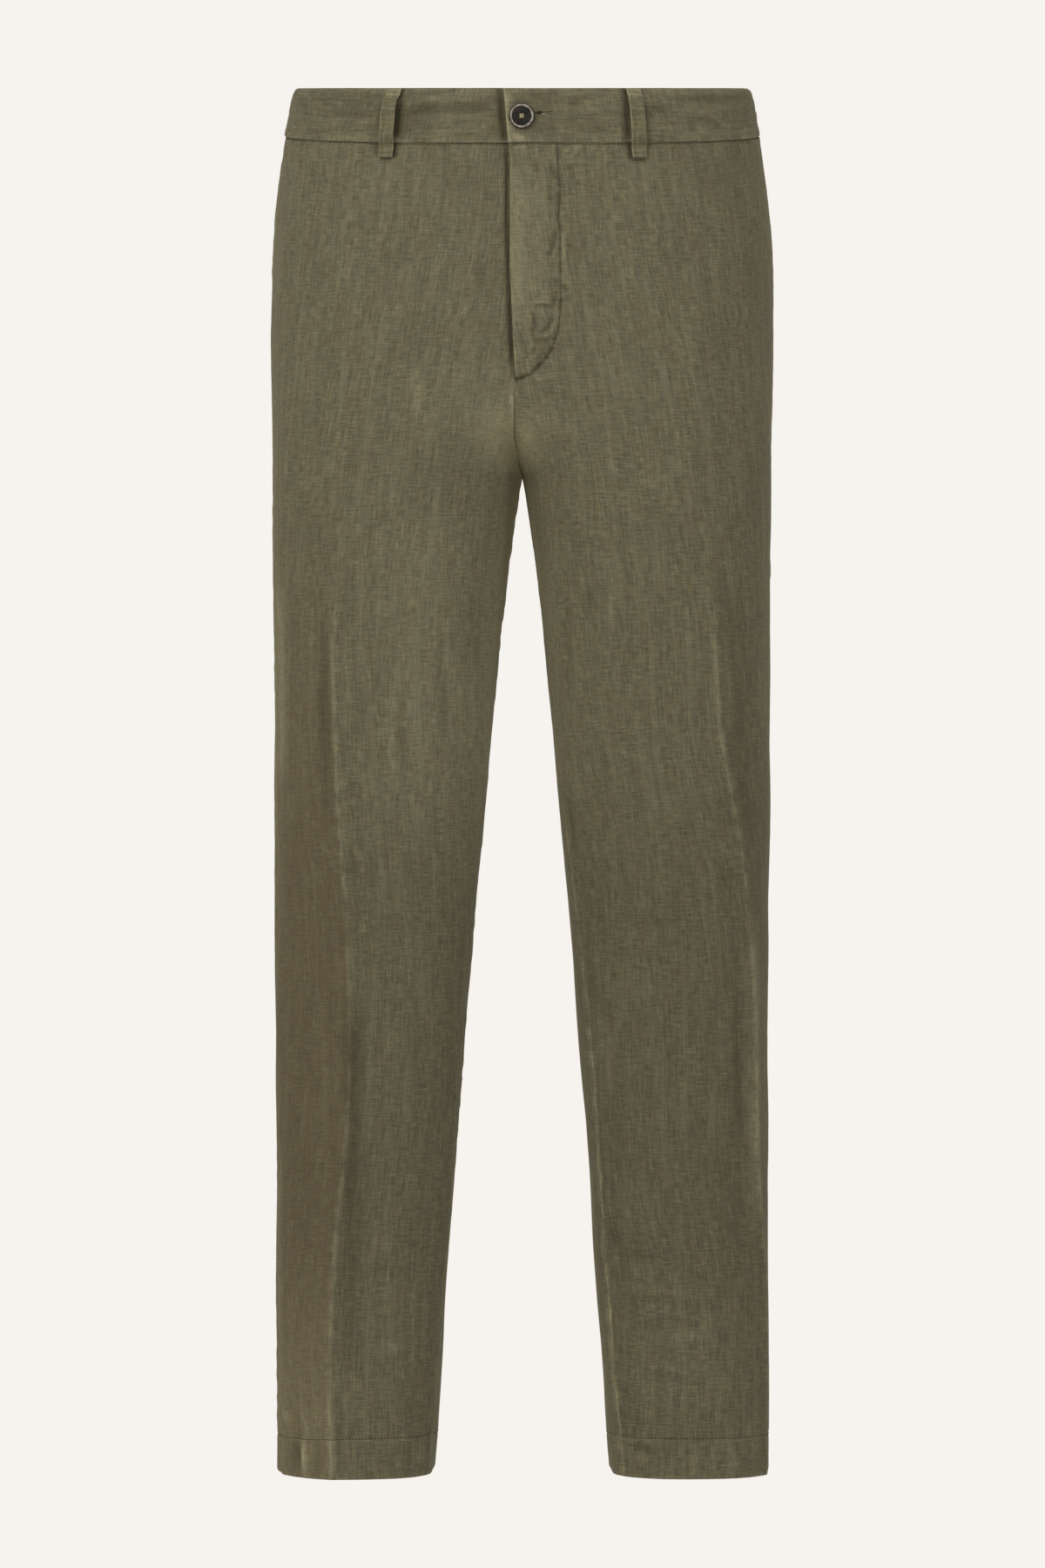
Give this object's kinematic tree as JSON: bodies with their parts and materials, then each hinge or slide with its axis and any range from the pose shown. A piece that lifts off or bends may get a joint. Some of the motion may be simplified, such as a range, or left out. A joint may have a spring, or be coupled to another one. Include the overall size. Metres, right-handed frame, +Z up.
{
  "type": "linen chinos, filled out as worn",
  "caption": "Full-length straight linen trousers with a waistband, belt loops, fly and waist button, hollow and open at the waist and hems.",
  "frame": {"origin": "middle of the waist opening, level with the waist edge at the side seams, where a wearer's waist holds the garment", "axes": "+Z up along the wearer, -Y to the front, +X to the wearer's left"},
  "size_m": [0.3858, 0.2456, 1.0777],
  "materials": {
    "linen": "plain-woven linen, garment dyed olive, matt",
    "linen_band": "the same linen, doubled on interlining, matt",
    "linen_loop": "the same linen, folded, worn lighter at its edges",
    "horn": "polished dark horn with a paler rim"
  },
  "bodies": {
    "root": {"front_left": "linen", "front_right": "linen", "back_left": "linen", "back_right": "linen", "waistband_left": "linen_band", "waistband_right": "linen_band", "belt_loop_front_left": "linen_loop", "belt_loop_front_right": "linen_loop", "belt_loop_back_left": "linen_loop", "belt_loop_back_right": "linen_loop", "belt_loop_centre_back": "linen_loop", "waist_button": "horn"}
  },
  "joints": []
}
